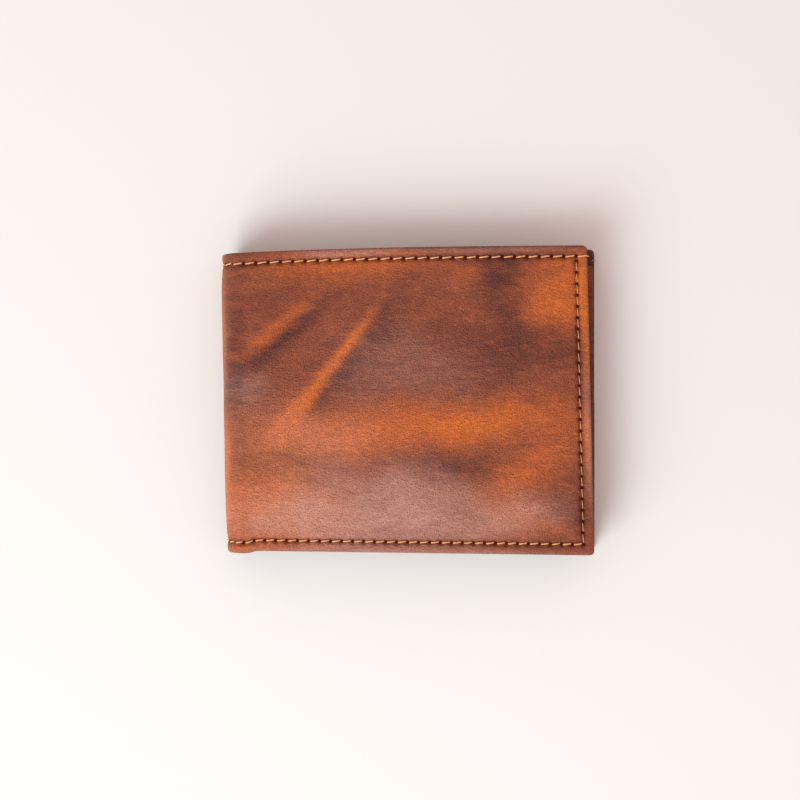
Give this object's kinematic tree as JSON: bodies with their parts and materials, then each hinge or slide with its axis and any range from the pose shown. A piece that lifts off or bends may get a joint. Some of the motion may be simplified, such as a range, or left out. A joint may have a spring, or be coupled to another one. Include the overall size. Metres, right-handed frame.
{
  "type": "trifold wallet",
  "caption": "Folded leather wallet with a stitched cover, note sections, card pockets and a turning centre wing with an identity window.",
  "frame": {"origin": "centre of the closed wallet's footprint, on the face that it rests on", "axes": "+X from the spine to the free edges, +Y to the note openings, +Z from the back cover up to the front cover"},
  "size_m": [0.114, 0.0918, 0.0162],
  "materials": {
    "outer_leather": "waxed pull-up leather, rust brown with darker smoky bands, satin",
    "inner_leather": "thin smooth brown leather, satin",
    "lining": "fine woven lining, matt",
    "thread": "waxed polyester thread, tan gold",
    "window_film": "clear film, gloss"
  },
  "bodies": {
    "back_leaf": {"back_cover": "outer_leather", "back_lining": "lining", "back_note_divider": "lining", "back_inner_wall": "inner_leather", "back_card_pocket_1": "inner_leather", "back_card_pocket_2": "inner_leather", "back_card_pocket_3": "inner_leather", "back_card_pocket_4": "inner_leather", "back_top_thread": "thread", "back_bottom_thread": "thread", "back_edge_thread": "thread", "back_inside_thread": "thread"},
    "spine": {"spine_cover": "outer_leather", "spine_lining": "lining", "spine_note_divider": "lining", "spine_inner_wall": "inner_leather", "spine_top_thread": "thread", "spine_bottom_thread": "thread", "wing_anchor": "inner_leather"},
    "front_leaf": {"front_cover": "outer_leather", "front_lining": "lining", "front_note_divider": "lining", "front_inner_wall": "inner_leather", "front_card_pocket_1": "inner_leather", "front_card_pocket_2": "inner_leather", "front_card_pocket_3": "inner_leather", "front_card_pocket_4": "inner_leather", "front_top_thread": "thread", "front_bottom_thread": "thread", "front_edge_thread": "thread", "front_inside_thread": "thread"},
    "wing": {"wing_core": "inner_leather", "wing_card_pocket_1": "inner_leather", "wing_card_pocket_2": "inner_leather", "wing_card_pocket_3": "inner_leather", "wing_window_film": "window_film", "wing_window_frame": "inner_leather", "wing_thread": "thread"}
  },
  "joints": [
    {"name": "spine_fold", "type": "hinge", "parent": "back_leaf", "child": "spine", "pos_m": [-0.05524, 0, 0.00176], "axis": [0, -1, 0], "range_deg": [0, 90]},
    {"name": "front_fold", "type": "hinge", "parent": "spine", "child": "front_leaf", "pos_m": [-0.05524, 0, 0.01444], "axis": [0, -1, 0], "range_deg": [0, 90]},
    {"name": "wing_turn", "type": "hinge", "parent": "spine", "child": "wing", "pos_m": [-0.0506, 0, 0.00856], "axis": [0, 1, 0], "range_deg": [0, 30]}
  ],
  "couplings": [
    {"joint": "front_fold", "follows": "spine_fold", "ratio": 1},
    {"joint": "wing_turn", "follows": "spine_fold", "ratio": 0.33333}
  ]
}
